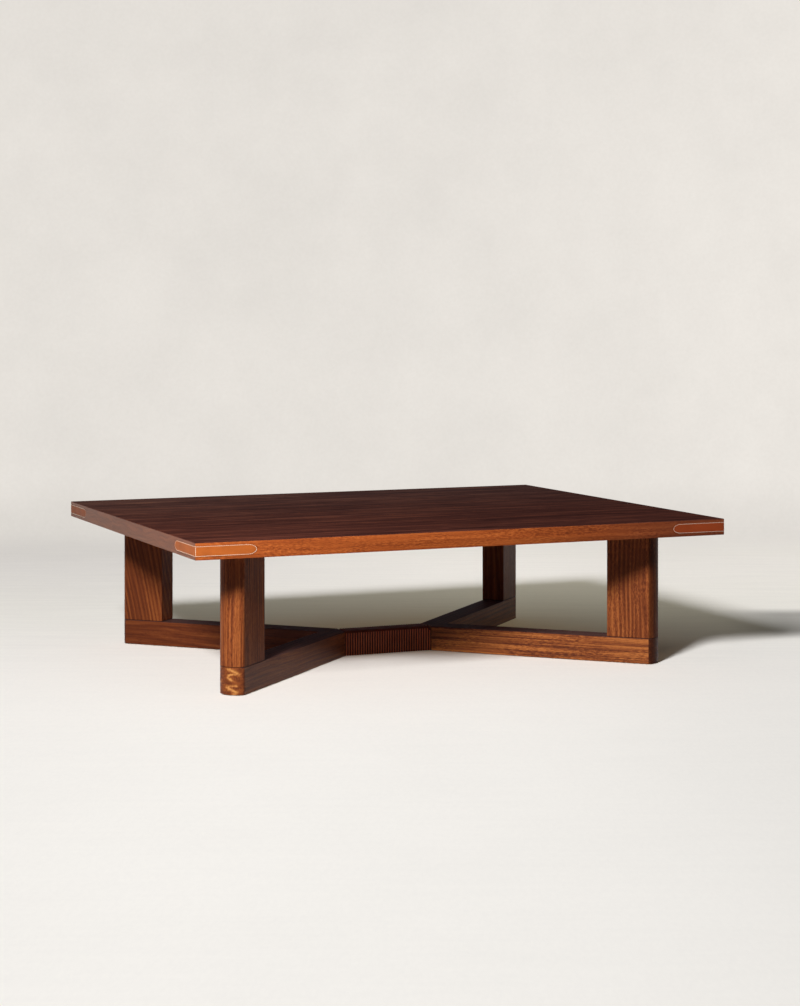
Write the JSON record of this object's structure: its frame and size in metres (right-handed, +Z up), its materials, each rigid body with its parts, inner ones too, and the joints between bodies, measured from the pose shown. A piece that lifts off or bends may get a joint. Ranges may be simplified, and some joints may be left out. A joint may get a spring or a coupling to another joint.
{
  "type": "low table",
  "caption": "Low rectangular table with a thick wood top, leather let into its corners, and plank legs on crossing floor rails wound with leather lace.",
  "frame": {"origin": "on the floor, under the middle of the top", "axes": "+X along the top's length, to the right seen from the front; +Y to the back; +Z up"},
  "size_m": [1.524, 1.219, 0.41],
  "materials": {
    "top_wood": "satin dark mahogany",
    "base_wood": "satin ribbon-striped mahogany",
    "corner_leather": "tan vegetable-tanned leather, stitched",
    "lace_leather": "dark red-brown leather lace",
    "joinery_wood": "raw beech",
    "steel": "zinc-plated",
    "brass": "plain brass",
    "felt": "pressed felt"
  },
  "bodies": {
    "root": {"top_board_1": "top_wood", "top_board_2": "top_wood", "top_board_3": "top_wood", "top_board_4": "top_wood", "top_board_5": "top_wood", "top_board_6": "top_wood", "top_board_7": "top_wood", "top_board_8": "top_wood", "corner_leather_front_left": "corner_leather", "corner_leather_front_right": "corner_leather", "corner_leather_back_left": "corner_leather", "corner_leather_back_right": "corner_leather", "leg_front_left": "base_wood", "leg_front_right": "base_wood", "leg_back_left": "base_wood", "leg_back_right": "base_wood", "arm_front_left": "base_wood", "arm_front_right": "base_wood", "arm_back_left": "base_wood", "arm_back_right": "base_wood", "centre_beam": "base_wood", "lace_left": "lace_leather", "lace_right": "lace_leather", "mitre_tenon_front_left": "joinery_wood", "mitre_tenon_front_right": "joinery_wood", "mitre_tenon_back_left": "joinery_wood", "mitre_tenon_back_right": "joinery_wood", "hub_tenon_left": "joinery_wood", "hub_tenon_right": "joinery_wood", "leg_dowel_front_left_outer": "joinery_wood", "leg_dowel_front_left_inner": "joinery_wood", "leg_dowel_front_right_outer": "joinery_wood", "leg_dowel_front_right_inner": "joinery_wood", "leg_dowel_back_left_outer": "joinery_wood", "leg_dowel_back_left_inner": "joinery_wood", "leg_dowel_back_right_outer": "joinery_wood", "leg_dowel_back_right_inner": "joinery_wood", "leg_bolt_front_left": "steel", "leg_bolt_front_right": "steel", "leg_bolt_back_left": "steel", "leg_bolt_back_right": "steel", "bolt_washer_front_left": "steel", "bolt_washer_front_right": "steel", "bolt_washer_back_left": "steel", "bolt_washer_back_right": "steel", "threaded_insert_front_left": "brass", "threaded_insert_front_right": "brass", "threaded_insert_back_left": "brass", "threaded_insert_back_right": "brass", "head_plate_front_left": "steel", "head_plate_front_right": "steel", "head_plate_back_left": "steel", "head_plate_back_right": "steel", "glide_front_left": "felt", "glide_front_right": "felt", "glide_back_left": "felt", "glide_back_right": "felt"}
  },
  "joints": []
}
